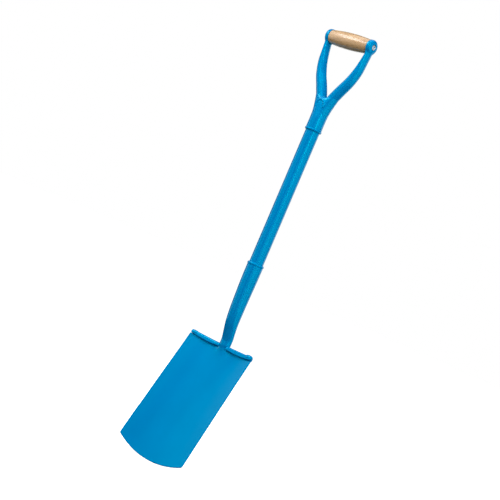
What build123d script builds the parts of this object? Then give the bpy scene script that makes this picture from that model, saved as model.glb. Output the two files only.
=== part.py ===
from build123d import *
import math
import os

# Garden spade: an all-steel digging spade with a Y-shaped top and a turned wooden grip.
# Millimetres. The origin is the middle of the cutting edge. +Z runs up along the
# shaft, the dished front of the blade faces -Y, and X runs across the blade.

# ---- blade ----
blade_length = 291.0          # from the corner line to the tip, along the blade
side_length = 270.0           # from the corner line to the bottom corners
top_half_width = 92.5
bottom_half_width = 98.0
corner_radius = 4.0            # bottom corners
top_corner_radius = 7.0       # top corners, under the ends of the treads
lift_angle = 17.6             # how far the blade leans forward from the shaft
dish_top = 11.0               # depth of the dish across the top of the blade
dish_bottom = 6.0             # depth of the dish across the cutting edge
plate_top = 2.8               # plate thickness at the treads
plate_bottom = 2.0            # plate thickness at the cutting edge
trim_depth = 60.0             # how far the trimming outline reaches in front and behind

# ---- treads ----
tread_seat = 3.0              # the plate's top edge lies this far below the corner line
tread_height = 8.8
tread_outer = 89.5            # half width over the treads
tread_width = 12.5
tread_overhang = 4.5          # how far the treads stand out in front of the blade's corners
tread_bow = 8.0               # the treads bow less than the blade below them
tread_inner = 8.0             # half width between the treads, filled by the neck
tread_round = 3.4             # rounding of the upper edges
tread_lower_round = 1.4       # rounding of the lower edges
relief_half_width = 14.3      # the treads' tops are cut away round the neck, out to here
relief_depth = 2.3            # depth of that sloping cut at the treads' inner ends
end_weld_half_length = 8.5
end_weld_radius = 4.8
end_weld_rise = {"left": 1.4, "right": 2.4}       # height above the tread
end_weld_reach = {"left": 0.2, "right": 0.8}      # how far it laps over the tread's end

# ---- shaft, socket and yoke ferrule ----
shaft_setback = 2.1           # the shaft axis lies this far behind the blade's corners
tube_radius = 16.0
tube_wall = 2.0
ferrule_radius = 18.0
fit_gap = 0.05
socket_mouth = 466.0
socket_bore = 54.0
ferrule_mouth = 787.0
ferrule_bore = 44.0
bead_height = 5.5
bead_radius = 19.0

# ---- yoke and grip ----
grip_height = 993.2           # height of the grip's axis
eye_inner = 53.6              # the eyes' inner faces, from the middle of the spade
eye_outer = 65.0
eye_radius = 16.4
eye_flat = 9.5
eye_rim = 2.2                 # straight rim before the dome starts
recess_radius = 6.6
recess_depth = 1.6
grip_end_radius = 15.4
grip_mid_radius = 18.6
grip_chamfer = 0.8
rivet_radius = 4.0
rivet_bore = 2.7
rivet_head_radius = 5.6
rivet_head = 1.6
rivet_clearance = 0.15
arm_wall = 2.4

os.makedirs("parts", exist_ok=True)

# ---- where things are ----
lift = math.radians(lift_angle)
down = Vector(0, -math.sin(lift), -math.cos(lift))       # down along the blade
front = Vector(0, -math.cos(lift), math.sin(lift))       # out of the blade's front face
top_centre = down * -blade_length + front * dish_bottom  # middle of the corner line
shaft_y = top_centre.Y + shaft_setback
grip_axis = Axis((0, shaft_y, grip_height), (1, 0, 0))

blade_face = Plane(origin=top_centre, x_dir=(1, 0, 0), z_dir=front)


def blade_section(distance):
    """Plane across the blade, this far below the corner line, with local +Y to the front."""
    return Plane(origin=top_centre + down * distance, x_dir=(1, 0, 0), z_dir=down)


def shaft_section(height):
    """Level plane on the shaft's axis."""
    return Plane(origin=(0, shaft_y, height), x_dir=(1, 0, 0), z_dir=(0, 0, 1))


def dish_at(distance):
    """Depth of the blade's dish this far below the corner line."""
    return dish_top + (dish_bottom - dish_top) * distance / blade_length


def blade_centre(distance):
    """Middle of the blade's thickness on its centre line."""
    thickness = plate_top + (plate_bottom - plate_top) * distance / blade_length
    return top_centre + down * distance - front * (dish_at(distance) + thickness / 2)


# ---- blade, neck and socket: one forging ----
def blade_station(distance, half_width, half_depth):
    """Neck station square to the blade, this far below the corner line."""
    middle = blade_centre(distance)
    return Plane(origin=middle, x_dir=(1, 0, 0), z_dir=down * -1), half_width, half_depth


def level_station(setback, height, half_width, half_depth):
    """Level neck station, this far behind the shaft's axis."""
    return Plane(origin=(0, shaft_y + setback, height)), half_width, half_depth


# The neck swells out of the blade's face, bends back, then comes forward to the socket.
neck_stations = [
    blade_station(74, 33.0, 0.9),
    blade_station(46, 25.0, 2.1),
    blade_station(22, 18.5, 4.4),
    blade_station(2, 13.5, 9.2),
    level_station(11.0, 294, 12.9, 11.2),
    level_station(7.0, 312, 13.4, 12.6),
    level_station(3.2, 330, 14.6, 14.2),
    level_station(1.2, 358, 15.9, 15.7),
    level_station(0.5, 390, 16.8, 16.8),
    level_station(0, 425, 17.7, 17.7),
    level_station(0, socket_mouth, ferrule_radius, ferrule_radius),
]
plate_reach = bottom_half_width + 4.0     # the plate is bent wide, then cut to its outline

with BuildPart() as blade_head:
    for distance, thickness in ((-2.0, plate_top), (blade_length + 4.0, plate_bottom)):
        dish = dish_at(distance)
        edge = dish * (plate_reach / top_half_width) ** 2 - dish
        with BuildSketch(blade_section(distance)):
            with BuildLine():
                ThreePointArc((-plate_reach, edge), (0, -dish), (plate_reach, edge))
                Line((plate_reach, edge), (plate_reach, edge - thickness))
                ThreePointArc(
                    (plate_reach, edge - thickness),
                    (0, -dish - thickness),
                    (-plate_reach, edge - thickness),
                )
                Line((-plate_reach, edge - thickness), (-plate_reach, edge))
            make_face()
    loft(ruled=True)
    with BuildSketch(blade_face, mode=Mode.PRIVATE) as outline:
        with BuildLine():
            Polyline(
                (-bottom_half_width, -side_length),
                (-top_half_width, -tread_seat),
                (top_half_width, -tread_seat),
                (bottom_half_width, -side_length),
            )
            ThreePointArc(
                (bottom_half_width, -side_length),
                (0, -blade_length),
                (-bottom_half_width, -side_length),
            )
        make_face()
        bottom_corners = outline.vertices().group_by(Axis.Y)[0]
        fillet(bottom_corners, corner_radius)
        top_corners = outline.vertices().group_by(Axis.Y)[-1]
        fillet(top_corners, top_corner_radius)
    extrude(outline.sketch, amount=trim_depth, both=True, mode=Mode.INTERSECT)
    for plane, half_width, half_depth in neck_stations:
        with BuildSketch(plane):
            Ellipse(half_width, half_depth)
    loft()
    with BuildSketch(shaft_section(socket_mouth)):
        Circle(tube_radius + fit_gap)
    extrude(amount=-socket_bore, mode=Mode.SUBTRACT)

blade_head.part.label = "blade_head"
export_step(blade_head.part, "parts/blade_head.step")


# ---- tread welds: a raised puddle of weld let into the outer end of each tread ----
def end_weld(sign, rise, reach):
    """Rounded puddle of weld that stands above the tread and laps over its outer end."""
    middle = (
        top_centre
        + Vector(sign * (tread_outer - end_weld_half_length + reach), 0, 0)
        + front * (tread_overhang - tread_width / 2)
        - down * (tread_height - tread_seat + rise - end_weld_radius)
    )
    with BuildPart() as weld:
        with BuildSketch(Plane(origin=middle, x_dir=(-sign, 0, 0), z_dir=front)):
            Ellipse(end_weld_half_length, end_weld_radius)
            Rectangle(
                2 * end_weld_half_length,
                2 * end_weld_radius,
                align=(Align.CENTER, Align.MIN),
                mode=Mode.INTERSECT,
            )
        revolve(axis=Axis(middle, (-sign, 0, 0)))
    return weld


tread_weld_left = end_weld(-1, end_weld_rise["left"], end_weld_reach["left"])
tread_weld_left.part.label = "tread_weld_left"
export_step(tread_weld_left.part, "parts/tread_weld_left.step")

tread_weld_right = end_weld(1, end_weld_rise["right"], end_weld_reach["right"])
tread_weld_right.part.label = "tread_weld_right"
export_step(tread_weld_right.part, "parts/tread_weld_right.step")


# ---- treads: a strip welded on the blade's top edge on each side of the neck ----
def tread(sign, weld):
    """Strip of even width that bows back towards the neck, rounded along its edges."""
    def bowed(x, offset):
        """Point on a long edge of the strip, this far in front of the corner line."""
        return (sign * x, offset - tread_bow * (1 - (x / top_half_width) ** 2))

    half_way = (tread_outer + tread_inner) / 2
    rear = tread_overhang - tread_width
    with BuildPart() as strip:
        with BuildSketch(blade_section(tread_seat)):
            with BuildLine():
                ThreePointArc(
                    bowed(tread_outer, tread_overhang),
                    bowed(half_way, tread_overhang),
                    bowed(tread_inner, tread_overhang),
                )
                Line(bowed(tread_inner, tread_overhang), bowed(tread_inner, rear))
                ThreePointArc(
                    bowed(tread_inner, rear),
                    bowed(half_way, rear),
                    bowed(tread_outer, rear),
                )
                Line(bowed(tread_outer, rear), bowed(tread_outer, tread_overhang))
            make_face()
        extrude(amount=-tread_height)
        long_edges = strip.edges().filter_by(GeomType.CIRCLE)
        upper = long_edges.group_by(Axis(top_centre, down * -1))[-1]
        fillet(upper, tread_round)
        long_edges = strip.edges().filter_by(GeomType.CIRCLE)
        lower = long_edges.group_by(Axis(top_centre, down * -1))[0]
        fillet(lower, tread_lower_round)
        top = tread_height - tread_seat
        with BuildSketch(blade_face):
            Polygon(
                (sign * relief_half_width, top),
                (sign * relief_half_width, top + 1.0),
                (sign * tread_inner, top + 1.0),
                (sign * tread_inner, top - relief_depth),
                align=None,
            )
        extrude(amount=trim_depth, both=True, mode=Mode.SUBTRACT)
        add(weld.part, mode=Mode.SUBTRACT)
        add(blade_head.part, mode=Mode.SUBTRACT)
    return strip


tread_left = tread(-1, tread_weld_left)
tread_left.part.label = "tread_left"
export_step(tread_left.part, "parts/tread_left.step")

tread_right = tread(1, tread_weld_right)
tread_right.part.label = "tread_right"
export_step(tread_right.part, "parts/tread_right.step")

# ---- shaft: a round steel tube let into the socket below and the yoke above ----
with BuildPart() as shaft_tube:
    with BuildSketch(shaft_section(socket_mouth - socket_bore)):
        Circle(tube_radius)
        Circle(tube_radius - tube_wall, mode=Mode.SUBTRACT)
    extrude(amount=ferrule_mouth + ferrule_bore - socket_mouth + socket_bore)

shaft_tube.part.label = "shaft_tube"
export_step(shaft_tube.part, "parts/shaft_tube.step")


# ---- ring welds where the shaft enters the socket and the yoke ----
def ring_weld(mouth, towards_shaft):
    """Ring of weld standing on a mouth, bulging past it and falling away to the tube."""
    tip = towards_shaft * bead_height
    with BuildPart() as ring:
        with BuildSketch(Plane(origin=(0, shaft_y, mouth), x_dir=(1, 0, 0), z_dir=(0, -1, 0))):
            with BuildLine():
                Line((tube_radius, 0), (ferrule_radius, 0))
                Spline(
                    (ferrule_radius, 0),
                    (bead_radius, tip * 0.4),
                    (tube_radius + 1.2, tip * 0.95),
                    (tube_radius, tip),
                )
                Line((tube_radius, tip), (tube_radius, 0))
            make_face()
        revolve(axis=Axis((0, shaft_y, mouth), (0, 0, 1)))
    return ring


socket_weld = ring_weld(socket_mouth, 1)
socket_weld.part.label = "socket_weld"
export_step(socket_weld.part, "parts/socket_weld.step")

yoke_weld = ring_weld(ferrule_mouth, -1)
yoke_weld.part.label = "yoke_weld"
export_step(yoke_weld.part, "parts/yoke_weld.step")

# ---- yoke: ferrule, two arms and the domed eyes that hold the grip ----
# Ferrule stations: height above its mouth, half width, half depth.
ferrule_stations = [
    (0, ferrule_radius, ferrule_radius),
    (26, ferrule_radius, ferrule_radius),
    (44, 19.6, 17.0),
    (58, 23.4, 14.8),
    (72, 27.0, 11.5),
]
# The right arm's centre line: distance from the middle, height above the ferrule's mouth.
arm_route = [(7, 44), (13.2, 68), (26.4, 95), (40.2, 120), (49.9, 146), (54.8, 173), (58.6, 203)]
# Arm sections: how far along the route, half thickness, half depth.
arm_sections = [
    (0.0, 11.0, 12.5),
    (0.2, 12.0, 12.4),
    (0.38, 11.9, 12.1),
    (0.54, 11.0, 12.0),
    (0.7, 9.0, 11.9),
    (0.85, 6.2, 11.6),
    (1.0, 4.6, 11.4),
]


arm_points = [Vector(x, shaft_y, ferrule_mouth + z) for x, z in arm_route]
arm_line = Spline(*arm_points, mode=Mode.PRIVATE)


def arm_solid(sections, shrink):
    """The right arm's oval sections lofted along its route, thinned all round by shrink."""
    with BuildPart() as arm:
        for along, half_thickness, half_depth in sections:
            section = Plane(
                origin=arm_line @ along, x_dir=(0, 1, 0), z_dir=arm_line % along
            )
            with BuildSketch(section):
                Ellipse(half_depth - shrink, half_thickness - shrink)
        loft()
    return arm


grip_plane = Plane(origin=(0, shaft_y, grip_height), x_dir=(1, 0, 0), z_dir=(0, -1, 0))
eye_face = Plane(origin=(eye_outer, shaft_y, grip_height), z_dir=(1, 0, 0))

with BuildPart() as yoke:
    add(arm_solid(arm_sections, 0).part)
    with BuildSketch(grip_plane):
        with BuildLine():
            Polyline(
                (eye_outer, eye_flat),
                (eye_outer, 0),
                (eye_inner, 0),
                (eye_inner, eye_radius),
                (eye_inner + eye_rim, eye_radius),
            )
            Spline(
                (eye_inner + eye_rim, eye_radius),
                (eye_outer - 2.6, eye_radius - 2.6),
                (eye_outer, eye_flat),
                tangents=((1, -0.15), (0.15, -1)),
            )
        make_face()
    revolve(axis=grip_axis)
    with BuildSketch(eye_face):
        Circle(recess_radius)
    extrude(amount=-recess_depth, mode=Mode.SUBTRACT)
    with BuildSketch(eye_face):
        Circle(rivet_radius + rivet_clearance)
    extrude(amount=-2 * (eye_outer - eye_inner), mode=Mode.SUBTRACT)
    mirror(about=Plane.YZ)
    for rise, half_width, half_depth in ferrule_stations:
        with BuildSketch(shaft_section(ferrule_mouth + rise)):
            Ellipse(half_width, half_depth)
    loft()
    hollow = arm_solid(arm_sections[:-1], arm_wall).part
    add(hollow, mode=Mode.SUBTRACT)
    add(hollow.mirror(Plane.YZ), mode=Mode.SUBTRACT)
    with BuildSketch(shaft_section(ferrule_mouth)):
        Circle(tube_radius + fit_gap)
    extrude(amount=ferrule_bore, mode=Mode.SUBTRACT)
    with BuildSketch(Plane(origin=(0, shaft_y, grip_height), z_dir=(1, 0, 0))):
        Circle(eye_radius + 0.4)
    extrude(amount=eye_inner, both=True, mode=Mode.SUBTRACT)

yoke.part.label = "yoke"
export_step(yoke.part, "parts/yoke.step")

# ---- crotch welds: raised arch-shaped runs over the root of the arms, front and back ----
arch_foot = Vector(9.5, 15.4, 48.0)     # from the shaft's axis and the ferrule's mouth
arch_crown = Vector(0.0, 13.4, 65.0)
crotch_bead = 1.6

with BuildPart() as crotch_weld:
    mouth_centre = Vector(0, shaft_y, ferrule_mouth)
    with BuildLine() as arch:
        ThreePointArc(
            mouth_centre + Vector(-arch_foot.X, -arch_foot.Y, arch_foot.Z),
            mouth_centre + Vector(0, -arch_crown.Y, arch_crown.Z),
            mouth_centre + Vector(arch_foot.X, -arch_foot.Y, arch_foot.Z),
        )
    with BuildSketch(Plane(origin=arch.line @ 0, z_dir=arch.line % 0)):
        Circle(crotch_bead)
    sweep()
    mirror(about=Plane.XZ.offset(-shaft_y))
    add(yoke.part, mode=Mode.SUBTRACT)

crotch_weld.part.label = "crotch_weld"
export_step(crotch_weld.part, "parts/crotch_weld.step")

# ---- grip: turned wooden barrel bored through for the rivet ----
with BuildPart() as grip:
    with BuildSketch(grip_plane):
        with BuildLine():
            Polyline(
                (-eye_inner, grip_end_radius - grip_chamfer),
                (-eye_inner, rivet_radius + rivet_clearance),
                (eye_inner, rivet_radius + rivet_clearance),
                (eye_inner, grip_end_radius - grip_chamfer),
                (eye_inner - grip_chamfer, grip_end_radius),
            )
            ThreePointArc(
                (eye_inner - grip_chamfer, grip_end_radius),
                (0, grip_mid_radius),
                (-eye_inner + grip_chamfer, grip_end_radius),
            )
            Line(
                (-eye_inner + grip_chamfer, grip_end_radius),
                (-eye_inner, grip_end_radius - grip_chamfer),
            )
        make_face()
    revolve(axis=grip_axis)

grip.part.label = "grip"
export_step(grip.part, "parts/grip.step")

# ---- grip rivet: a hollow rivet through both eyes and the grip, closed over at each end ----
with BuildPart() as grip_rivet:
    with BuildSketch(grip_plane):
        seat = eye_outer - recess_depth
        with BuildLine():
            Polyline(
                (0, rivet_bore),
                (seat + rivet_head, rivet_bore),
                (seat + rivet_head, rivet_head_radius - 1.0),
            )
            ThreePointArc(
                (seat + rivet_head, rivet_head_radius - 1.0),
                (seat + rivet_head - 0.3, rivet_head_radius - 0.3),
                (seat + rivet_head - 1.0, rivet_head_radius),
            )
            Polyline(
                (seat + rivet_head - 1.0, rivet_head_radius),
                (seat, rivet_head_radius),
                (seat, rivet_radius),
                (0, rivet_radius),
                (0, rivet_bore),
            )
        make_face()
    revolve(axis=grip_axis)
    mirror(about=Plane.YZ)

grip_rivet.part.label = "grip_rivet"
export_step(grip_rivet.part, "parts/grip_rivet.step")
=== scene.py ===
import math

import bpy
import numpy as np
from mathutils import Matrix, Vector


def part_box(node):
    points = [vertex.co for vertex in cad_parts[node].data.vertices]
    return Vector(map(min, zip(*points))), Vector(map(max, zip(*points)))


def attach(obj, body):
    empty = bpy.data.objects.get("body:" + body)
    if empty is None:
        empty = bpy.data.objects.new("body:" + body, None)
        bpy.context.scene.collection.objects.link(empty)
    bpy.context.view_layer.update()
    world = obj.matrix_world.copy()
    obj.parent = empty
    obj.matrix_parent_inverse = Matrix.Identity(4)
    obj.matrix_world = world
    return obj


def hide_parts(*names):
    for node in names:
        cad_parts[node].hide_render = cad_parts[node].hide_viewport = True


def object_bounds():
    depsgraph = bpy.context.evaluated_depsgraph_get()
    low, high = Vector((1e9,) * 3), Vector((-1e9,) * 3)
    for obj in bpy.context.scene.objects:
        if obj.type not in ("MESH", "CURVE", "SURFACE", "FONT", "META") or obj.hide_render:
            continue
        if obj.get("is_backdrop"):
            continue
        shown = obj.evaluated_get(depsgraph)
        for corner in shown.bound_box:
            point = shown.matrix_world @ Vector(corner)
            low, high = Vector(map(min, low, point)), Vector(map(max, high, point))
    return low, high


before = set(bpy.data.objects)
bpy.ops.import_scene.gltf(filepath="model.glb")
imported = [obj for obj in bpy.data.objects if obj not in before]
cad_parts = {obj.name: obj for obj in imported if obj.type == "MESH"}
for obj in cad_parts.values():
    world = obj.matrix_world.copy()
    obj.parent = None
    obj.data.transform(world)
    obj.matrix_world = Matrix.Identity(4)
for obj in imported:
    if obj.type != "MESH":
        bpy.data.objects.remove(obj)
cad_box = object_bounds()

# Garden spade. The dimensions below are millimetres in the part's frame: the origin is the
# middle of the cutting edge, +Z runs up along the shaft, the dished front faces -Y.
MM = 0.001

# ---------------------------------------------------------------- where the CAD model is
tube_low, tube_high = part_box("shaft_tube")
yoke_low, yoke_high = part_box("yoke")
head_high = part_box("blade_head")[1]
grip_low, grip_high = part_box("grip")
rivet_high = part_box("grip_rivet")[1]
shaft_y = (tube_low.y + tube_high.y) / 2 / MM
tube_radius = (tube_high.x - tube_low.x) / 2 / MM
socket_mouth = head_high.z / MM
ferrule_mouth = yoke_low.z / MM
grip_height = (grip_low.z + grip_high.z) / 2 / MM
grip_half_length = grip_high.x / MM
grip_mid_radius = (grip_high.z - grip_low.z) / 2 / MM
eye_outer = yoke_high.x / MM
rivet_tip = rivet_high.x / MM

# ---------------------------------------------------------------- dimensions of the spade
blade_length, side_length = 291.0, 270.0
top_half_width, bottom_half_width = 92.5, 98.0
dish_top, dish_bottom = 11.0, 6.0
plate_top, plate_bottom = 2.8, 2.0
top_corner_round, bottom_corner_round, plate_edge_round = 2.0, 4.0, 0.9
lift = math.radians(17.6)
down = np.array([0.0, -math.sin(lift), -math.cos(lift)])
front = np.array([0.0, -math.cos(lift), math.sin(lift)])
top_centre = -blade_length * down + dish_bottom * front

# where the neck runs into the plate: distance down the blade, half width, half depth
neck_roots = [(60, 6.0, 0.4), (40, 6.5, 0.8), (20, 7.5, 1.4), (9, 9.6, 3.4), (1, 12.7, 8.4)]
# the neck above it: how far behind the shaft's axis, height, half width, half depth
neck_rises = [
    (11.2, 294, 14.0, 10.9), (7.4, 312, 14.5, 12.4), (3.7, 330, 15.0, 14.1), (1.4, 358, 16.0, 15.7),
    (0.5, 390, 16.8, 16.8), (0.0, 425, 17.7, 17.7), (0.0, socket_mouth, 18.0, 18.0),
    (0.0, socket_mouth + 30, 18.0, 18.0),
]
neck_foot, neck_foot_round, mouth_round = 54.0, 4.0, 0.5
# the plate swells at the neck's root, and the swelling dies away down the blade
swell_height, swell_reach, swell_spread, swell_widening = 5.0, 66.0, 15.0, 0.36
swell_fading, swell_steepness = 3.2, 0.26

tread_seat, tread_height, tread_outer = 3.0, 8.8, 89.5
tread_inner_left, tread_inner_right = 8.0, 12.6
tread_width, tread_overhang, tread_bow, tread_belly = 12.5, 4.5, 8.0, 1.9
tread_upper_round, tread_lower_round, tread_end_round = 4.6, 1.2, 1.4
belly_middle, belly_half_length = 49.0, 38.0
weld_half_length, weld_radius, weld_squareness = 8.0, 4.8, 2.6
weld_offset, weld_ripple, weld_ripple_length, weld_fillet = 0.4, 0.02, 2.6, 3.0
# the two end welds: side, its sign in x, rise over the tread, reach past its end, bulk
end_welds = [("left", -1, 0.4, 0.0, 0.9), ("right", 1, 2.3, 0.7, 1.0)]

# the right arm's centre line: distance from the middle, height above the ferrule's mouth
arm_route = [(7, 44), (13.2, 68), (26.4, 95), (40.2, 120), (49.9, 146), (54.8, 173), (58.6, 203)]
# how far along the arm, half thickness, half depth
arm_sections = [
    (0.0, 11.0, 12.5), (0.2, 12.0, 12.4), (0.38, 11.9, 12.1), (0.54, 11.0, 12.0),
    (0.7, 9.0, 11.9), (0.85, 6.2, 11.6), (1.0, 4.6, 11.4),
]
# height above the ferrule's mouth, half width, half depth
ferrule_stations = [
    (-10, 18, 18), (0, 18, 18), (26, 18, 18), (44, 19.6, 17), (58, 23.4, 15.9), (72, 27, 14.0),
]
ferrule_top, ferrule_top_round, ferrule_bore, bore_clearance = 72, 6.0, 44, 0.05
arm_fillet, eye_fillet, eye_edge_round, eye_face_round = 5.0, 3.0, 0.9, 0.8
eye_inner, eye_radius, eye_rim, eye_dome, eye_squareness = 53.6, 16.4, 2.2, 9.9, 3.1
grip_room_radius, grip_room_round = 16.8, 0.6
recess_radius, recess_depth, recess_round = 6.6, 1.6, 0.7
arch_foot_x, arch_foot_h, arch_crown_h = 9.5, 48.0, 65.0
arch_radius = (arch_foot_x**2 + (arch_crown_h - arch_foot_h) ** 2) / (2 * (arch_crown_h - arch_foot_h))
arch_bead, arch_ripple, arch_fillet = 1.7, 0.05, 1.8
arch_crown_y, arch_foot_lead = 14.8, 0.8

tube_wall = 2.0
ring_middle, ring_half_length, ring_radius, ring_half_height = 1.9, 3.6, 16.2, 2.75
grip_end_radius, grip_chamfer, grip_bore_radius = 15.4, 0.8, 4.15
rivet_shank_radius, rivet_head_radius = 4.0, 5.6
rivet_mouth_radius, rivet_throat_radius, rivet_hole_radius, rivet_cup_depth = 2.9, 2.2, 0.9, 1.3


# ---------------------------------------------------------------- small maths helpers
def smooth_min(a, b, k):
    """Union of two solids with a fillet about k wide."""
    h = np.clip(k - np.abs(a - b), 0, None) / k
    return np.minimum(a, b) - h * h * k / 4


def smooth_max(a, b, k):
    """What two solids share, with the edge between them rounded over about k."""
    return -smooth_min(-a, -b, k)


def rule(xs, ys):
    """Smooth curve through points, as a function of x."""
    xs, ys = np.asarray(xs, float), np.asarray(ys, float)
    run = np.diff(xs)
    slope = np.diff(ys) / run
    m = np.empty_like(ys)
    m[1:-1] = (slope[:-1] * run[1:] + slope[1:] * run[:-1]) / (run[:-1] + run[1:])
    m[0], m[-1] = 1.5 * slope[0] - m[1] / 2, 1.5 * slope[-1] - m[-2] / 2

    def at(x):
        x = np.clip(x, xs[0], xs[-1])
        i = np.clip(np.searchsorted(xs, x) - 1, 0, len(xs) - 2)
        t = (x - xs[i]) / run[i]
        a, b, ma, mb = ys[i], ys[i + 1], m[i] * run[i], m[i + 1] * run[i]
        return (
            (2 * t**3 - 3 * t**2 + 1) * a + (t**3 - 2 * t**2 + t) * ma
            + (3 * t**2 - 2 * t**3) * b + (t**3 - t**2) * mb
        )

    return at


class Table:
    """Values on a flat grid, read between the grid points."""

    def __init__(self, low, high, step, make):
        self.low, self.step = np.array(low, float), step
        self.n = [int((h - l) / step) + 2 for l, h in zip(low, high)]
        u, v = np.meshgrid(
            low[0] + step * np.arange(self.n[0]),
            low[1] + step * np.arange(self.n[1]), indexing="ij",
        )
        self.values = [np.asarray(w).reshape(self.n) for w in make(u.ravel(), v.ravel())]

    def __call__(self, u, v):
        a = np.clip((u - self.low[0]) / self.step, 0, self.n[0] - 1.001)
        b = np.clip((v - self.low[1]) / self.step, 0, self.n[1] - 1.001)
        i, j = a.astype(int), b.astype(int)
        a, b = a - i, b - j
        return [
            (w[i, j] * (1 - a) + w[i + 1, j] * a) * (1 - b)
            + (w[i, j + 1] * (1 - a) + w[i + 1, j + 1] * a) * b
            for w in self.values
        ]


def ellipse(u, v, a, b):
    """Distance from an ellipse with half axes a and b, near its outline."""
    q = np.sqrt((u / a) ** 2 + (v / b) ** 2) + 1e-9
    g = np.sqrt((u / a**2) ** 2 + (v / b**2) ** 2) / q + 1e-9
    return (q - 1) / g


# ---------------------------------------------------------------- mesh from a solid's field
def net(field, low, high, step):
    """Quads over the surface where field is zero, one vertex to each crossed cell.
    step is a size for each axis; the vertices are then moved onto the surface."""
    low, step = np.array(low, float), np.array(step, float)
    # blocks of cells far from the surface are settled by their middle alone
    block, batch = 4, 400000
    cells = (np.ceil((np.array(high, float) - low) / step / block) * block).astype(int)
    coarse = cells // block
    grid = np.stack(np.meshgrid(*[np.arange(c) for c in coarse], indexing="ij"), -1).reshape(-1, 3)
    middle = field(low + (grid + 0.5) * block * step)
    near = np.abs(middle) < 1.3 * np.linalg.norm(step * block) / 2 + 2.0
    middle, near = middle.reshape(coarse), near.reshape(coarse)

    def spread(a, fill):
        a = a.repeat(block, 0).repeat(block, 1).repeat(block, 2)
        out = np.full(cells + 1, fill, a.dtype)
        out[:-1, :-1, :-1] = a
        return out

    values = np.where(spread(middle, 1.0) < 0, np.float32(-9), np.float32(9))
    ask = spread(near, False)
    for axis in range(3):
        ask |= np.roll(ask, 1, axis)
    where = np.nonzero(ask)
    points = low + np.stack(where, -1) * step
    found = np.empty(len(points), np.float32)
    for s in range(0, len(points), batch):
        found[s:s + batch] = field(points[s:s + batch])
    values[where] = found
    inside = values < 0
    count = sum(
        inside[a:a + cells[0], b:b + cells[1], c:c + cells[2]].astype(np.uint8)
        for a in (0, 1) for b in (0, 1) for c in (0, 1)
    )
    cell = np.stack(np.nonzero((count > 0) & (count < 8)), -1)
    total, hits = np.zeros((len(cell), 3)), np.zeros(len(cell))
    for axis in range(3):
        for o in ((0, 0), (0, 1), (1, 0), (1, 1)):
            a = np.insert(np.array(o), axis, 0)
            b = np.insert(np.array(o), axis, 1)
            va = values[tuple((cell + a).T)]
            vb = values[tuple((cell + b).T)]
            cut = (va < 0) != (vb < 0)
            t = np.where(cut, va / np.where(cut, va - vb, 1), 0)
            total += cut[:, None] * (cell + a + t[:, None] * (b - a))
            hits += cut
    verts = low + total / hits[:, None] * step
    index = np.full(cells, -1, np.int32)
    index[tuple(cell.T)] = np.arange(len(cell))
    faces = []
    for axis in range(3):
        u, v = (axis + 1) % 3, (axis + 2) % 3
        first = [slice(0, None)] * 3
        second = [slice(0, None)] * 3
        first[axis], second[axis] = slice(0, -1), slice(1, None)
        at = np.stack(np.nonzero(inside[tuple(first)] != inside[tuple(second)]), -1)
        at = at[(at[:, u] > 0) & (at[:, v] > 0) & (at[:, u] < cells[u]) & (at[:, v] < cells[v])]
        quad = []
        for du, dv in ((0, 0), (1, 0), (1, 1), (0, 1)):
            c = at.copy()
            c[:, u] -= du
            c[:, v] -= dv
            quad.append(index[tuple(c.T)])
        quad = np.stack(quad, -1)
        flip = ~inside[tuple(at.T)]
        quad[flip] = quad[flip][:, ::-1]
        faces.append(quad)
    faces = np.concatenate(faces)

    def settle(p, rounds, most):
        """Move points onto the surface along the field's slope, at most this far a round."""
        e = 0.02
        for _ in range(rounds):
            f = field(p)
            g = np.stack([(field(p + e * d) - field(p - e * d)) / (2 * e) for d in np.eye(3)], -1)
            move = (f / np.maximum((g * g).sum(1), 0.2))[:, None] * g
            size = np.linalg.norm(move, axis=1, keepdims=True)
            p = p - move * np.minimum(1, most / np.maximum(size, 1e-9))
        return p

    # even out the spacing twice, returning to the surface each time
    edges = np.concatenate([faces[:, [k, (k + 1) % 4]] for k in range(4)])
    degree = np.bincount(edges.ravel(), minlength=len(verts))
    for _ in range(2):
        mean = np.stack([
            np.bincount(edges[:, 0], verts[edges[:, 1], k], len(verts))
            + np.bincount(edges[:, 1], verts[edges[:, 0], k], len(verts))
            for k in range(3)
        ], -1) / np.maximum(degree, 1)[:, None]
        verts = settle(verts * 0.4 + mean * 0.6, 1, step.min() * 0.6)
    return settle(verts, 2, step.min() * 0.4), faces


def piece(name, verts, faces, node, material):
    """A mesh object, in place, standing for a CAD node. verts are millimetres."""
    mesh = bpy.data.meshes.new(name)
    mesh.from_pydata((np.asarray(verts) * MM).tolist(), [], [list(map(int, f)) for f in faces])
    mesh.validate()
    mesh.polygons.foreach_set("use_smooth", [True] * len(mesh.polygons))
    mesh.update()
    obj = bpy.data.objects.new(name, mesh)
    bpy.context.scene.collection.objects.link(obj)
    mesh.materials.append(material)
    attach(obj, "root")
    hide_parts(node)
    return obj


def turned(profile, centre, axis, segments, ripple=None):
    """Closed profile of (along, radius) points turned about an axis through centre."""
    profile = np.asarray(profile, float)
    axis = np.asarray(axis, float)
    side = np.cross(axis, [0.0, 1.0, 0.0])
    side /= np.linalg.norm(side)
    other = np.cross(axis, side)
    angles = np.arange(segments) * 2 * math.pi / segments
    rings = []
    for a in angles:
        along, radius = profile[:, 0], profile[:, 1]
        if ripple:
            along, radius = ripple(a, along, radius)
        out = math.cos(a) * side + math.sin(a) * other
        rings.append(np.asarray(centre) + along[:, None] * axis + radius[:, None] * out)
    n = len(profile)
    faces = [
        (i * n + j, i * n + (j + 1) % n, (i + 1) % segments * n + (j + 1) % n, (i + 1) % segments * n + j)
        for i in range(segments) for j in range(n)
    ]
    return np.concatenate(rings), faces


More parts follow.
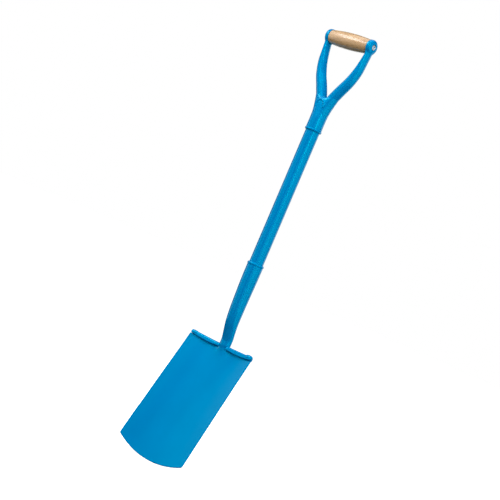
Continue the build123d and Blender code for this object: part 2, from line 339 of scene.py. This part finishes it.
def rounded(points, radii, steps=5):
    """Closed outline with its corners rounded by arcs."""
    points = [np.asarray(p, float) for p in points]
    out = []
    for i, (p, r) in enumerate(zip(points, radii)):
        a, b = points[i - 1] - p, points[(i + 1) % len(points)] - p
        if r <= 0:
            out.append(p)
            continue
        a, b = a / np.linalg.norm(a), b / np.linalg.norm(b)
        half = math.acos(float(np.clip(a @ b, -1, 1))) / 2
        reach = r / math.tan(half)
        middle = p + (a + b) / np.linalg.norm(a + b) * r / math.sin(half)
        start, end = p + a * reach - middle, p + b * reach - middle
        turn = math.pi - 2 * half
        for k in range(steps + 1):
            t = k / steps
            w = (math.sin((1 - t) * turn) * start + math.sin(t * turn) * end) / math.sin(turn)
            out.append(middle + w)
    return out


# ---------------------------------------------------------------- blade, neck and socket
# The blade's own directions: x across, d down from the corner line, n out of the front.
def to_world(q):
    return top_centre + q[:, 1:2] * down + q[:, 2:3] * front + q[:, :1] * np.array([1.0, 0, 0])


def dish_at(d):
    return dish_top + (dish_bottom - dish_top) * d / blade_length


def plate_thickness(d):
    return plate_top + (plate_bottom - plate_top) * d / blade_length


def local(y, z):
    """A point of the middle plane as (d, n)."""
    p = np.array([0.0, y, z]) - top_centre
    return p @ down, p @ front


neck = []    # (d, n, lean of the section, half width, half depth), from the blade up
for d, w, h in neck_roots:
    neck.append((d, -dish_at(d) - plate_thickness(d) / 2, 0.0, w, h))
for setback, z, w, h in neck_rises:
    neck.append((*local(shaft_y + setback, z), lift, w, h))
neck = np.array(neck)
neck_s = np.concatenate([[0], np.cumsum(np.hypot(*np.diff(neck[:, :2], axis=0).T))])
neck_d, neck_n, neck_lean, neck_w, neck_h = (rule(neck_s, neck[:, k]) for k in range(5))


def neck_table(d, n):
    """For each point of the middle plane, its place along the neck and its height over it."""
    s = np.linspace(0, neck_s[-1], 420)
    cd, cn, lean = neck_d(s), neck_n(s), np.clip(neck_lean(s), 0, lift)
    ahead = np.empty((len(s), len(d)), np.float32)
    for k in range(len(s)):
        # a section's own up direction turns with its lean, from the blade's to the shaft's
        up_d, up_n = -math.cos(lean[k]), math.sin(lean[k])
        ahead[k] = (d - cd[k]) * up_d + (n - cn[k]) * up_n
    low = np.clip((ahead > 0).sum(0) - 1, 0, len(s) - 2)
    cols = np.arange(len(d))
    a, b = ahead[low, cols], ahead[low + 1, cols]
    t = np.clip(a / np.maximum(a - b, 1e-6), 0, 1)
    at = s[low] + t * (s[1] - s[0])
    lean_at = np.clip(neck_lean(at), 0, lift)
    over = (d - neck_d(at)) * np.sin(lean_at) + (n - neck_n(at)) * np.cos(lean_at)
    return at, over


neck_map = Table((-215.0, -45.0), (110.0, 110.0), 1.0, neck_table)


def neck_field(x, d, n):
    s, over = neck_map(d, n)
    return smooth_max(ellipse(x, over, neck_w(s), neck_h(s)), d - neck_foot, neck_foot_round)


def plate_field(x, d, n):
    t = plate_thickness(d) / 2
    dish = dish_at(d)
    fade = np.clip(1 - d / swell_reach, 0, 1.05) ** swell_fading
    spread = swell_spread + swell_widening * np.clip(d, 0, swell_reach)
    swell = swell_height * fade * np.exp(-(x / spread) ** 2)
    slab = np.abs(n + dish + t - dish * (x / top_half_width) ** 2) - t - swell
    slope = np.abs(2 * dish * x / top_half_width**2) + np.abs(2 * x / spread**2) * swell
    slab = slab / np.sqrt(1 + slope**2 + (swell_steepness * swell / swell_height) ** 2)
    taper = (bottom_half_width - top_half_width) / (side_length - tread_seat)
    side = (np.abs(x) - top_half_width - taper * (d - tread_seat)) / math.hypot(1, taper)
    sag = blade_length - side_length
    edge_radius = (bottom_half_width**2 + sag**2) / (2 * sag)
    edge = np.hypot(x, d - blade_length + edge_radius) - edge_radius
    outline = smooth_max(side, tread_seat - d, top_corner_round)
    outline = smooth_max(outline, edge, bottom_corner_round)
    return smooth_max(slab, outline, plate_edge_round)


def head_field(q):
    x, d, n = q.T
    # the fillet between neck and plate is widest just below the treads
    fillet = 0.6 + 3.4 * np.clip((40.0 - d) / 30.0, 0, 1) * np.clip((d + 4.0) / 10.0, 0.2, 1)
    f = smooth_min(plate_field(x, d, n), neck_field(x, d, n), fillet)
    z = top_centre[2] + d * down[2] + n * front[2]
    return smooth_max(f, z - socket_mouth, mouth_round)


# ---------------------------------------------------------------- treads and their end welds
def tread_field(x, d, n):
    inner = np.where(x > 0, tread_inner_right, tread_inner_left)
    x = np.abs(x)
    middle = tread_overhang - tread_width / 2 - tread_bow * (1 - (x / top_half_width) ** 2)
    across = (n - middle) / np.sqrt(1 + (2 * tread_bow * x / top_half_width**2) ** 2)
    belly = tread_belly * np.clip(1 - ((x - belly_middle) / belly_half_length) ** 2, -0.5, 1)
    tall = tread_height + belly
    up = tread_seat + belly - tall / 2 - d
    r = np.where(up > 0, tread_upper_round, tread_lower_round)
    a, b = np.abs(across) - tread_width / 2 + r, np.abs(up) - tall / 2 + r
    strip = np.minimum(np.maximum(a, b), 0) + np.hypot(np.maximum(a, 0), np.maximum(b, 0)) - r
    ends = np.abs(x - (tread_outer + inner) / 2) - (tread_outer - inner) / 2
    return smooth_max(strip, ends, tread_end_round)


def weld_field(rise, reach, bulk):
    """A run of weld over a tread's outer end: rise is its height over the tread, reach how
    far it laps past the end, and bulk its size."""
    def field(q):
        x, d, n = q.T
        u = np.abs(x) - (tread_outer - weld_half_length + reach)
        v = d - (tread_seat - tread_height - rise + weld_radius)
        w = n - (tread_overhang - tread_width / 2 + weld_offset)
        ripple = 1 + weld_ripple * np.cos(u * 2 * math.pi / weld_ripple_length + 0.5 * np.sin(w))
        along = (np.abs(u) / (weld_half_length * bulk)) ** weld_squareness
        across = (np.hypot(v, w) / (weld_radius * bulk) / ripple) ** weld_squareness
        mound = ((along + across) ** (1 / weld_squareness) - 1) * weld_radius
        skirt = smooth_min(mound, tread_field(x, d, n), weld_fillet)
        return smooth_max(skirt, mound - 1.0, 0.4)
    return field


# ---------------------------------------------------------------- yoke
route = np.array(arm_route, float)
route_s = np.concatenate([[0], np.cumsum(np.hypot(*np.diff(route, axis=0).T))])
route_s /= route_s[-1]
arm_x, arm_z = rule(route_s, route[:, 0]), rule(route_s, route[:, 1])
arm_thick = rule([a[0] for a in arm_sections], [a[1] for a in arm_sections])
arm_deep = rule([a[0] for a in arm_sections], [a[2] for a in arm_sections])
ferrule_w = rule([f[0] for f in ferrule_stations], [f[1] for f in ferrule_stations])
ferrule_d = rule([f[0] for f in ferrule_stations], [f[2] for f in ferrule_stations])


def arm_table(x, h):
    """For each point, its place along the arm's centre line and its distance from it."""
    s = np.linspace(0, 1, 400)
    cx, cz = arm_x(s), arm_z(s)
    best = np.full(len(x), np.inf)
    at = np.zeros(len(x))
    for k in range(len(s)):
        gap = np.hypot(x - cx[k], h - cz[k])
        closer = gap < best
        best[closer] = gap[closer]
        at[closer] = s[k]
    return at, best


arm_map = Table((-70.0, 20.0), (80.0, 235.0), 1.0, arm_table)


def one_arm(x, y, h):
    s, gap = arm_map(x, h)
    return ellipse(gap, y, arm_thick(s), arm_deep(s))


def eye_field(x, y, h):
    r = np.hypot(y, h - (grip_height - ferrule_mouth))
    u = np.abs(x) - eye_inner - eye_rim
    q = (np.clip(u, 0, None) / eye_dome) ** eye_squareness + (r / eye_radius) ** eye_squareness
    # brings the value near to a true distance, on the rim as well as on the dome
    steepness = np.where(u > 0, np.clip(r / eye_radius, 0, 1) * 0.65 + 1, 1.65)
    dome = (q ** (1 / eye_squareness) - 1) * eye_dome * steepness
    return smooth_max(dome, -(np.abs(x) - eye_inner), eye_edge_round)


def yoke_solid(x, y, h):
    ferrule = smooth_max(ellipse(x, y, ferrule_w(h), ferrule_d(h)), h - ferrule_top, ferrule_top_round)
    arms = smooth_min(one_arm(x, y, h), one_arm(-x, y, h), arm_fillet)
    f = smooth_min(ferrule, arms, arm_fillet)
    r = np.hypot(y, h - (grip_height - ferrule_mouth))
    f = smooth_max(f, -np.maximum(r - grip_room_radius, np.abs(x) - eye_inner), grip_room_round)
    f = smooth_min(f, eye_field(x, y, h), eye_fillet)
    f = smooth_max(f, np.abs(x) - eye_outer, eye_face_round)
    recess = np.maximum(r - recess_radius, eye_outer - recess_depth - np.abs(x))
    return smooth_max(f, -recess, recess_round)


def yoke_field(p):
    x, y, h = p[:, 0], p[:, 1] - shaft_y, p[:, 2] - ferrule_mouth
    f = smooth_max(yoke_solid(x, y, h), -h, mouth_round)
    bore = np.maximum(np.hypot(x, y) - tube_radius - bore_clearance, h - ferrule_bore)
    return smooth_max(f, -bore, mouth_round)


# The crotch weld: an arch-shaped run over the root of the arms, front and back.
def arch_distance(x, y, h):
    """How far a point is from the arch's centre line, and how far round it from the crown."""
    middle = arch_crown_h - arch_radius
    spread = math.atan2(arch_foot_x, arch_foot_h - middle)
    a = np.clip(np.arctan2(x, h - middle), -spread, spread)
    cx, ch = arch_radius * np.sin(a), middle + arch_radius * np.cos(a)
    cy = arch_crown_y + arch_foot_lead * ((arch_crown_h - ch) / (arch_crown_h - arch_foot_h)) ** 1.3
    return np.sqrt((x - cx) ** 2 + (np.abs(y) - cy) ** 2 + (h - ch) ** 2), a / spread


def crotch_field(p):
    x, y, h = p[:, 0], p[:, 1] - shaft_y, p[:, 2] - ferrule_mouth
    gap, along = arch_distance(x, y, h)
    bead = gap - arch_bead * (1 - 0.9 * np.abs(along) ** 4) - arch_ripple * np.cos(along * 22)
    skirt = smooth_min(bead, yoke_solid(x, y, h), arch_fillet)
    return smooth_max(skirt, bead - 1.5, 0.4)


# ---------------------------------------------------------------- materials
PAINT_DARK, PAINT_LIGHT = (0.0, 0.176, 0.456, 1.0), (0.0, 0.190, 0.485, 1.0)
PAINT_SHEEN = (0.0, 0.98, 0.98, 1.0)
WOOD_STOPS = [(0.30, (0.405, 0.228, 0.096)), (0.52, (0.515, 0.315, 0.147)), (0.75, (0.58, 0.38, 0.20))]
FIBRE_STOPS = [(0.3, (0.80, 0.76, 0.70)), (0.62, (1.0, 1.0, 1.0))]
PORE_STOPS = [(0.28, (0.72, 0.62, 0.50)), (0.40, (1.0, 1.0, 1.0))]
STEEL_STOPS = [(0.35, (0.42, 0.43, 0.44)), (0.65, (0.68, 0.69, 0.70))]


def nodes_for(name, build):
    """A material whose nodes are laid by build(add, give, place)."""
    material = bpy.data.materials.new(name)
    material.use_nodes = True
    tree = material.node_tree
    shader = tree.nodes["Principled BSDF"]

    def fill(socket, value):
        if isinstance(value, bpy.types.NodeSocket):
            tree.links.new(value, socket)
        else:
            socket.default_value = value

    def add(kind, output, inputs, **settings):
        """A new node's output. Inputs go by name or by place."""
        node = tree.nodes.new(kind)
        for key, value in settings.items():
            setattr(node, key, value)
        for key, value in inputs.items():
            fill(node.inputs[key], value)
        return node.outputs[output]

    def give(key, value):
        """Set one of the shader's own inputs."""
        fill(shader.inputs[key], value)

    build(add, give, add("ShaderNodeTexCoord", "Object", {}))
    return material


def noise(add, place, scale, detail, roughness=0.5, distortion=0.0):
    inputs = {"Vector": place, "Scale": scale, "Detail": detail}
    return add("ShaderNodeTexNoise", "Fac", inputs | {"Roughness": roughness, "Distortion": distortion})


def between(add, value, low, high):
    """A noise value, its usual range stretched to run from low to high."""
    inputs = {"Value": value, "From Min": 0.3, "From Max": 0.7, "To Min": low, "To Max": high}
    return add("ShaderNodeMapRange", "Result", inputs)


def bump(add, height, strength, distance, under=None):
    inputs = {"Height": height, "Strength": strength, "Distance": distance}
    if under:
        inputs["Normal"] = under
    return add("ShaderNodeBump", "Normal", inputs)


def ramp(add, value, stops):
    """A colour for each value, between the colours at the stops."""
    colour = add("ShaderNodeValToRGB", "Color", {"Fac": value})
    band = colour.node.color_ramp
    while len(band.elements) < len(stops):
        band.elements.new(0.5)
    for element, (at, shade) in zip(band.elements, stops):
        element.position = at
        element.color = (*shade, 1.0)
    return colour


def blend(add, amount, first, second, **settings):
    """Mix two colours. The colour sockets of a Mix node are inputs 6 and 7 and output 2."""
    return add("ShaderNodeMix", 2, {0: amount, 6: first, 7: second}, data_type="RGBA", **settings)


def along_grain(add, place, along, across):
    return add("ShaderNodeMapping", "Vector", {"Vector": place, "Scale": (along, across, across)})


def paint(add, give, place):
    """Blue gloss enamel over forged and welded steel: orange peel, slow waves, small nibs."""
    slow = noise(add, place, 14.0, 3.0)
    peel = noise(add, place, 420.0, 2.0, roughness=0.55)
    nibs = noise(add, place, 900.0, 1.0)
    give("Base Color", blend(add, between(add, slow, 0.0, 1.0), PAINT_DARK, PAINT_LIGHT))
    give("Roughness", between(add, peel, 0.16, 0.21))
    relief = bump(add, slow, 0.15, 0.0005)
    relief = bump(add, peel, 0.03, 0.00002, relief)
    relief = bump(add, nibs, 0.02, 0.000005, relief)
    give("Normal", relief)
    give("IOR", 1.5)
    give("Specular IOR Level", 0.7)
    give("Specular Tint", PAINT_SHEEN)


def wood(add, give, place):
    """Clear-varnished hardwood with its grain along the grip: growth bands, fibres and pores."""
    bands = noise(add, along_grain(add, place, 5.0, 60.0), 2.2, 4.0, roughness=0.55, distortion=0.4)
    fibres = noise(add, along_grain(add, place, 22.0, 700.0), 1.6, 3.0, roughness=0.6)
    pores = noise(add, along_grain(add, place, 120.0, 1500.0), 1.0, 1.0)
    colour = ramp(add, bands, WOOD_STOPS)
    colour = blend(add, 1.0, colour, ramp(add, fibres, FIBRE_STOPS), blend_type="MULTIPLY")
    colour = blend(add, 0.8, colour, ramp(add, pores, PORE_STOPS), blend_type="MULTIPLY")
    give("Base Color", colour)
    give("Roughness", between(add, fibres, 0.5, 0.38))
    relief = bump(add, fibres, 0.15, 0.00006)
    relief = bump(add, pores, 0.1, 0.00004, relief)
    give("Normal", relief)
    give("Coat Weight", 1.0)
    give("Coat Roughness", 0.16)
    give("Coat IOR", 1.5)


def steel(add, give, place):
    """Plated steel with fine tool marks and light tarnish."""
    marks = noise(add, place, 1400.0, 2.0)
    stain = noise(add, place, 260.0, 3.0)
    give("Base Color", ramp(add, stain, STEEL_STOPS))
    give("Roughness", between(add, marks, 0.24, 0.42))
    give("Normal", bump(add, marks, 0.25, 0.00005))
    give("Metallic", 1.0)


blue = nodes_for("blue_enamel", paint)
varnished = nodes_for("varnished_wood", wood)
plated = nodes_for("plated_steel", steel)

# ---------------------------------------------------------------- pieces
# Cell sizes of the surfaces, across, down and out of the front, all scaled by coarseness.
coarseness = 1.0
BLADE_CELL = np.array([1.5, 1.5, 0.9]) * coarseness
TREAD_CELL = np.array([0.9, 0.6, 0.6]) * coarseness
YOKE_CELL = np.full(3, 0.9) * coarseness
WELD_CELL = np.full(3, 0.5) * coarseness


def on_side(sign, low, high):
    """A box on the right of the middle, or its mirror image on the left."""
    if sign > 0:
        return low, high
    return (-high[0], *low[1:]), (-low[0], *high[1:])


def tread_solid(q):
    return tread_field(*q.T)


verts, faces = net(head_field, (-101, -184, -26), (101, 295, 92), BLADE_CELL)
piece("blade_and_socket", to_world(verts), faces, "blade_head", blue)

for side, sign, rise, reach, bulk in end_welds:
    low, high = on_side(sign, (6, -8, -19), (92, 7, 7))
    verts, faces = net(tread_solid, low, high, TREAD_CELL)
    piece("foot_tread_" + side, to_world(verts), faces, "tread_" + side, blue)
    low, high = on_side(sign, (68, -12, -9), (94, 6, 6))
    verts, faces = net(weld_field(rise, reach, bulk), low, high, WELD_CELL)
    piece("tread_end_weld_" + side, to_world(verts), faces, "tread_weld_" + side, blue)

low = (-67.3, shaft_y - 21.2, ferrule_mouth - 3.4)
high = (67, shaft_y + 21, ferrule_mouth + 226)
verts, faces = net(yoke_field, low, high, YOKE_CELL)
piece("yoke_body", verts, faces, "yoke", blue)

low = (-15, shaft_y - 20, ferrule_mouth + 42)
high = (15, shaft_y + 20, ferrule_mouth + 70)
verts, faces = net(crotch_field, low, high, WELD_CELL)
piece("crotch_weld_run", verts, faces, "crotch_weld", blue)

# shaft tube: its long sides are cut into 60 lengths
tube_foot, tube_top, tube_inside = tube_low.z / MM, tube_high.z / MM, tube_radius - tube_wall
tube_ends = rounded(
    [(tube_foot, tube_inside), (tube_foot, tube_radius), (tube_top, tube_radius), (tube_top, tube_inside)],
    [0.4, 0.6, 0.6, 0.4], 3,
)
profile = []
for i, p in enumerate(tube_ends):
    profile.append(p)
    after = tube_ends[(i + 1) % len(tube_ends)]
    if abs(after[0] - p[0]) > 50:
        profile += [p + (after - p) * k / 60 for k in range(1, 60)]
verts, faces = turned(profile, (0, shaft_y, 0), (0, 0, 1), 96)
piece("shaft_tube_skin", verts, faces, "shaft_tube", blue)


def ring(mouth, tip, seed):
    """A lumpy bead laid round a mouth. tip is 1 where the bead lies above it, -1 below."""
    angles = np.arange(40) * 2 * math.pi / 40
    outline = [
        (ring_middle + ring_half_length * math.sin(a), ring_radius + ring_half_height * math.cos(a))
        for a in angles
    ]
    # it is cut off just inside the mouth and just under the tube's surface
    outline = [(tip * max(z, -0.9), max(r, tube_radius - 0.4)) for z, r in outline]
    outline = [p for i, p in enumerate(outline) if math.dist(p, outline[i - 1]) > 0.01]

    def ripple(a, along, radius):
        scallop = 0.16 * math.cos(30 * a + 2.2 * math.sin(a + seed))
        scallop = scallop + 0.25 * math.sin(2 * a + seed) * math.sin(3 * a)
        lump = np.clip((radius - tube_radius) / 3, 0, 1)
        shift = 0.25 * math.sin(3 * a + seed) + 0.15 * scallop
        return along + tip * lump * shift, radius + lump * scallop * 0.7

    return turned(outline, (0, shaft_y, mouth), (0, 0, 1), 240, ripple)


verts, faces = ring(socket_mouth, 1, 0.7)
piece("socket_ring_weld", verts, faces, "socket_weld", blue)
verts, faces = ring(ferrule_mouth, -1, 2.9)
piece("yoke_ring_weld", verts, faces, "yoke_weld", blue)

# turned wooden grip: a barrel with chamfered ends and a bore
barrel_half_length = grip_half_length - grip_chamfer
bow = (grip_mid_radius - grip_end_radius) / barrel_half_length ** 2
barrel = [
    (x, grip_mid_radius - bow * x * x)
    for x in np.linspace(-barrel_half_length, barrel_half_length, 61)
]
shoulder = grip_end_radius - grip_chamfer
end = [
    (grip_half_length - 0.2, shoulder + 0.25), (grip_half_length, shoulder - 0.2),
    (grip_half_length, grip_bore_radius),
]
outline = [(-x, r) for x, r in end[::-1]] + barrel + end
outline += [(x, grip_bore_radius) for x in np.linspace(grip_half_length, -grip_half_length, 22)[1:-1]]
verts, faces = turned(outline, (0, shaft_y, grip_height), (1, 0, 0), 128)
piece("wooden_grip", verts, faces, "grip", varnished)

# hollow rivet, rolled over at both ends
seat = eye_outer - recess_depth
cup = rivet_tip - rivet_cup_depth
half = rounded(
    [
        (seat, rivet_shank_radius), (seat, rivet_head_radius), (rivet_tip, rivet_head_radius),
        (rivet_tip, rivet_mouth_radius), (cup, rivet_throat_radius), (cup, rivet_hole_radius),
    ],
    [0, 0.3, 1.0, 0.9, 0.4, 0.3], 5,
)
outline = half + [(x, rivet_hole_radius) for x in np.linspace(rivet_tip - 4, -rivet_tip + 4, 12)]
outline += [np.array([-p[0], p[1]]) for p in half[::-1]]
outline += [(x, rivet_shank_radius) for x in np.linspace(-seat + 3, seat - 3, 12)]
verts, faces = turned(outline, (0, shaft_y, grip_height), (1, 0, 0), 64)
piece("grip_through_rivet", verts, faces, "grip_rivet", plated)

# ---------------------------------------------------------------- floor
floor_mesh = bpy.data.meshes.new("floor")
corners = [(-30, -30, 0), (30, -30, 0), (30, 30, 0), (-30, 30, 0)]
floor_mesh.from_pydata(corners, [], [(0, 1, 2, 3)])
floor = bpy.data.objects.new("floor", floor_mesh)
bpy.context.scene.collection.objects.link(floor)
floor.location.z = cad_box[0][2] - 0.0005


def pale(add, give, place):
    """White paper, bright enough by itself that it takes no shadow."""
    give("Base Color", (0.9, 0.9, 0.9, 1.0))
    give("Roughness", 0.9)
    give("Specular IOR Level", 0.0)
    give("Emission Color", (1.0, 1.0, 1.0, 1.0))
    give("Emission Strength", 1.0)


floor_mesh.materials.append(nodes_for("pale_floor", pale))
floor.visible_diffuse = False
floor.visible_glossy = False
floor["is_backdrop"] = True

# ---------------------------------------------------------------- light
# White soft panels stand round the spade and face the shaft's axis half a metre up.
shaft = Vector((0.0, shaft_y * MM, 0.0))
aim = shaft + Vector((0, 0, 0.5))


def panel(name, yaw, elevation, distance, width, height, radiance):
    """A soft panel of light. yaw is measured round the shaft from the front, to the right."""
    light = bpy.data.lights.new(name, "AREA")
    light.shape = "RECTANGLE"
    light.size, light.size_y = width, height
    light.energy = radiance * math.pi * width * height
    obj = bpy.data.objects.new(name, light)
    bpy.context.scene.collection.objects.link(obj)
    a, e = math.radians(yaw), math.radians(elevation)
    out = Vector((math.sin(a) * math.cos(e), -math.cos(a) * math.cos(e), math.sin(e)))
    obj.location = aim + out * distance
    obj.rotation_euler = out.to_track_quat("Z", "Y").to_euler()
    obj.visible_camera = False


panel("left_low", -65, 0, 2.6, 1.8, 1.6, 1.2)
panel("left_high", -65, 38, 2.6, 1.8, 1.4, 1.35)
panel("left_edge", -40, 12, 2.6, 0.6, 2.2, 0.8)
panel("left_key", -31, 34.5, 2.6, 1.3, 0.65, 6.4)
panel("left_crown", -48, 46, 2.6, 0.7, 0.5, 5.5)
panel("front_left", -15, 5, 2.6, 1.2, 2.0, 0.8)
panel("front_middle", 5, 22, 2.6, 1.2, 0.5, 1.7)
panel("front_key", 5, 40, 2.6, 1.2, 0.9, 2.5)
panel("front_top", 8, 62, 2.6, 2.0, 1.2, 1.3)
panel("right_near", 36, 5, 2.6, 0.6, 2.0, 1.5)
panel("strip_low", 57, -3, 2.6, 0.45, 0.95, 3.2)
panel("strip_high", 57, 26, 2.6, 0.42, 1.74, 8.5)
panel("right_far", 78, 5, 2.6, 0.9, 2.4, 2.5)
panel("right_high", 78, 38, 2.6, 0.9, 0.9, 0.7)
panel("right_back", 112, 5, 2.6, 1.6, 2.6, 1.7)
panel("back_right", 165, 5, 2.6, 2.2, 2.6, 1.0)
panel("back_left", -150, 5, 2.6, 2.2, 2.6, 1.0)
panel("top", 0, 85, 2.2, 2.4, 2.4, 1.4)

# The camera sees white behind the spade, and reflections see a dim grey between the panels.
world = bpy.data.worlds.new("studio")
bpy.context.scene.world = world
world.use_nodes = True
sky = world.node_tree
dim = sky.nodes["Background"]
dim.inputs["Color"].default_value = (0.1, 0.1, 0.1, 1.0)
white = sky.nodes.new("ShaderNodeBackground")
white.inputs["Color"].default_value = (1, 1, 1, 1)
seen = sky.nodes.new("ShaderNodeLightPath")
choose = sky.nodes.new("ShaderNodeMixShader")
sky.links.new(seen.outputs["Is Camera Ray"], choose.inputs[0])
sky.links.new(dim.outputs[0], choose.inputs[1])
sky.links.new(white.outputs[0], choose.inputs[2])
sky.links.new(choose.outputs[0], sky.nodes["World Output"].inputs["Surface"])

# ---------------------------------------------------------------- camera
# It stands to the right of the front, level with the socket's mouth, and is rolled so that
# the spade leans to the right in the picture.
stand_off, yaw, eye_level = 2.9658, 38.661, 0.4660
pan, tilt, roll = 0.4617, 0.5179, -23.1405
camera_data = bpy.data.cameras.new("camera")
camera = bpy.data.objects.new("camera", camera_data)
bpy.context.scene.collection.objects.link(camera)
camera_data.lens, camera_data.sensor_width = 98.752, 36.0
camera_data.clip_end = 100.0
spot = math.radians(yaw)
camera.location = shaft + Vector((stand_off * math.sin(spot), -stand_off * math.cos(spot), eye_level))
a, t, r = math.radians(yaw + pan), math.radians(tilt), math.radians(roll)
ahead = Vector((-math.sin(a) * math.cos(t), math.cos(a) * math.cos(t), math.sin(t)))
level = ahead.cross(Vector((0, 0, 1))).normalized()
upright = level.cross(ahead)
right = level * math.cos(r) - upright * math.sin(r)
up = upright * math.cos(r) + level * math.sin(r)
camera.rotation_euler = Matrix((right, up, -ahead)).transposed().to_euler()
bpy.context.scene.camera = camera

view = bpy.context.scene.view_settings
view.view_transform = "Standard"
view.look = "None"
# the faint red of the reflections falls below what the camera records on so pure a blue
view.use_curve_mapping = True
view.curve_mapping.black_level = (0.016, 0.0, 0.0)
view.curve_mapping.update()

boxes = {"cad": cad_box, "visual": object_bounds()}
{k: [[float(c) for c in corner] for corner in b] for k, b in boxes.items()}
